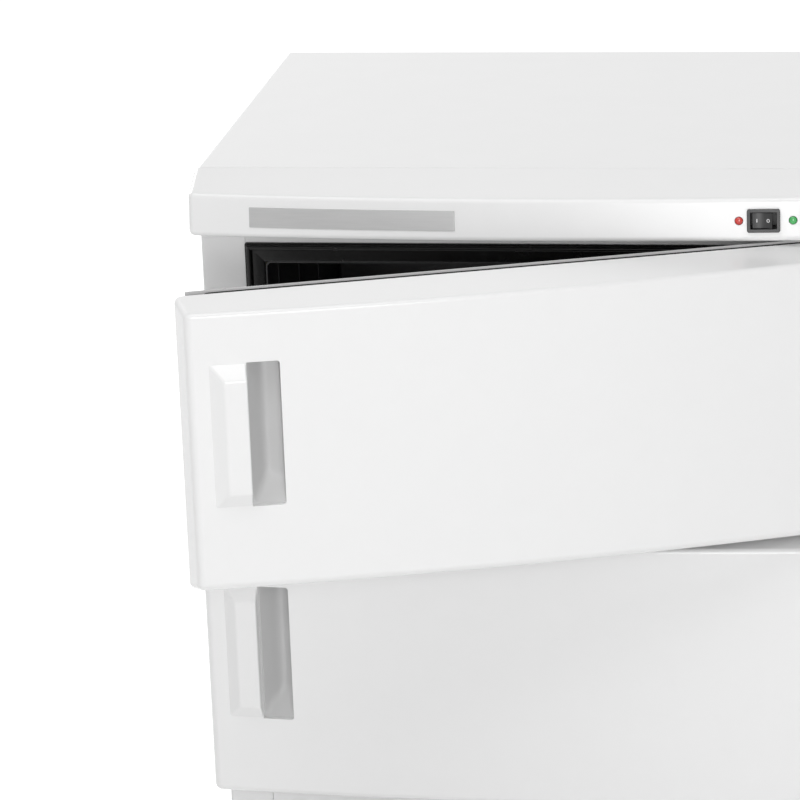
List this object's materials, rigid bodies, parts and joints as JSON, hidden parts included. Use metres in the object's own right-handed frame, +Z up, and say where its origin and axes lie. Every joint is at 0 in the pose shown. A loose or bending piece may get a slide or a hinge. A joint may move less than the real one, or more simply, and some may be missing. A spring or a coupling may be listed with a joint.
{
  "type": "towel warmer cabinet",
  "caption": "White countertop hot towel cabinet with stacked hinged doors, recessed handles, sealed heated chambers with racks and trays, and rocker switches on its top fascia.",
  "frame": {"origin": "bottom centre of the object's box, with the upper door ajar, on the surface that the feet stand on", "axes": "+Z up, -Y out of the front, +X towards the hinge side, to the right as seen from the front"},
  "size_m": [0.454, 0.5046, 0.4672],
  "materials": {
    "white_plastic": "smooth moulded",
    "white_paint": "fine powder coat",
    "grey_plastic": "satin",
    "cup_plastic": "satin",
    "plate_grey": "satin",
    "black_rubber": "satin",
    "black_plastic": "fine texture",
    "liner_metal": "dark satin",
    "steel": "plated",
    "aluminium": "satin",
    "insulation": "fibre and foam",
    "heater_rubber": "matte",
    "lens_red": "clear tint",
    "lens_green": "clear tint"
  },
  "bodies": {
    "cabinet": {"cabinet_wrapper": "white_paint", "base_panel": "white_paint", "back_panel": "white_paint", "front_frame": "white_paint", "top_fascia": "white_plastic", "nameplate": "plate_grey", "insulation_jacket": "insulation", "wiring_harness": "black_plastic", "terminal_block": "black_plastic", "power_inlet": "black_plastic", "back_screw_lower_left": "steel", "back_screw_lower_right": "steel", "back_screw_upper_left": "steel", "back_screw_upper_right": "steel", "foot_front_left": "black_rubber", "foot_front_right": "black_rubber", "foot_rear_left": "black_rubber", "foot_rear_right": "black_rubber", "hinge_bracket_top": "steel", "hinge_bracket_middle": "steel", "hinge_bracket_bottom": "steel", "hinge_pin_top": "steel", "hinge_pin_middle": "steel", "hinge_pin_bottom": "steel", "upper_gasket": "black_rubber", "lower_gasket": "black_rubber", "upper_liner": "liner_metal", "lower_liner": "liner_metal", "upper_drip_tray": "aluminium", "lower_drip_tray": "aluminium", "upper_wire_rack": "steel", "lower_wire_rack": "steel", "upper_heater_mat": "heater_rubber", "lower_heater_mat": "heater_rubber", "upper_thermostat": "black_plastic", "lower_thermostat": "black_plastic", "upper_magnet_catch": "black_plastic", "lower_magnet_catch": "black_plastic", "upper_switch_housing": "black_plastic", "lower_switch_housing": "black_plastic", "upper_indicator_lens": "lens_red", "lower_indicator_lens": "lens_green"},
    "upper_door": {"upper_door_shell": "white_plastic", "upper_door_inner_panel": "grey_plastic", "upper_door_foam": "insulation", "upper_handle_cup": "cup_plastic", "upper_handle_grip": "white_plastic", "upper_strike_plate": "steel", "upper_hinge_bush_top": "black_plastic", "upper_hinge_bush_bottom": "black_plastic"},
    "lower_door": {"lower_door_shell": "white_plastic", "lower_door_inner_panel": "grey_plastic", "lower_door_foam": "insulation", "lower_handle_cup": "cup_plastic", "lower_handle_grip": "white_plastic", "lower_strike_plate": "steel", "lower_hinge_bush_top": "black_plastic", "lower_hinge_bush_bottom": "black_plastic"},
    "upper_rocker": {"upper_switch_rocker": "black_plastic"},
    "lower_rocker": {"lower_switch_rocker": "black_plastic"}
  },
  "joints": [
    {"name": "upper_door_hinge", "type": "hinge", "parent": "cabinet", "child": "upper_door", "pos_m": [0.214, -0.09617, 0.2319], "axis": [0, 0, 1], "range_deg": [-19, 91]},
    {"name": "lower_door_hinge", "type": "hinge", "parent": "cabinet", "child": "lower_door", "pos_m": [0.214, -0.09617, 0.036], "axis": [0, 0, 1], "range_deg": [0, 110]},
    {"name": "upper_rocker_pivot", "type": "hinge", "parent": "cabinet", "child": "upper_rocker", "pos_m": [0.14978, -0.1079, 0.44117], "axis": [-0.0069, 0.1082, 0.9941], "range_deg": [0, 18]},
    {"name": "lower_rocker_pivot", "type": "hinge", "parent": "cabinet", "child": "lower_rocker", "pos_m": [0.18373, -0.10549, 0.44117], "axis": [-0.0085, 0.1081, 0.9941], "range_deg": [0, 18]}
  ]
}
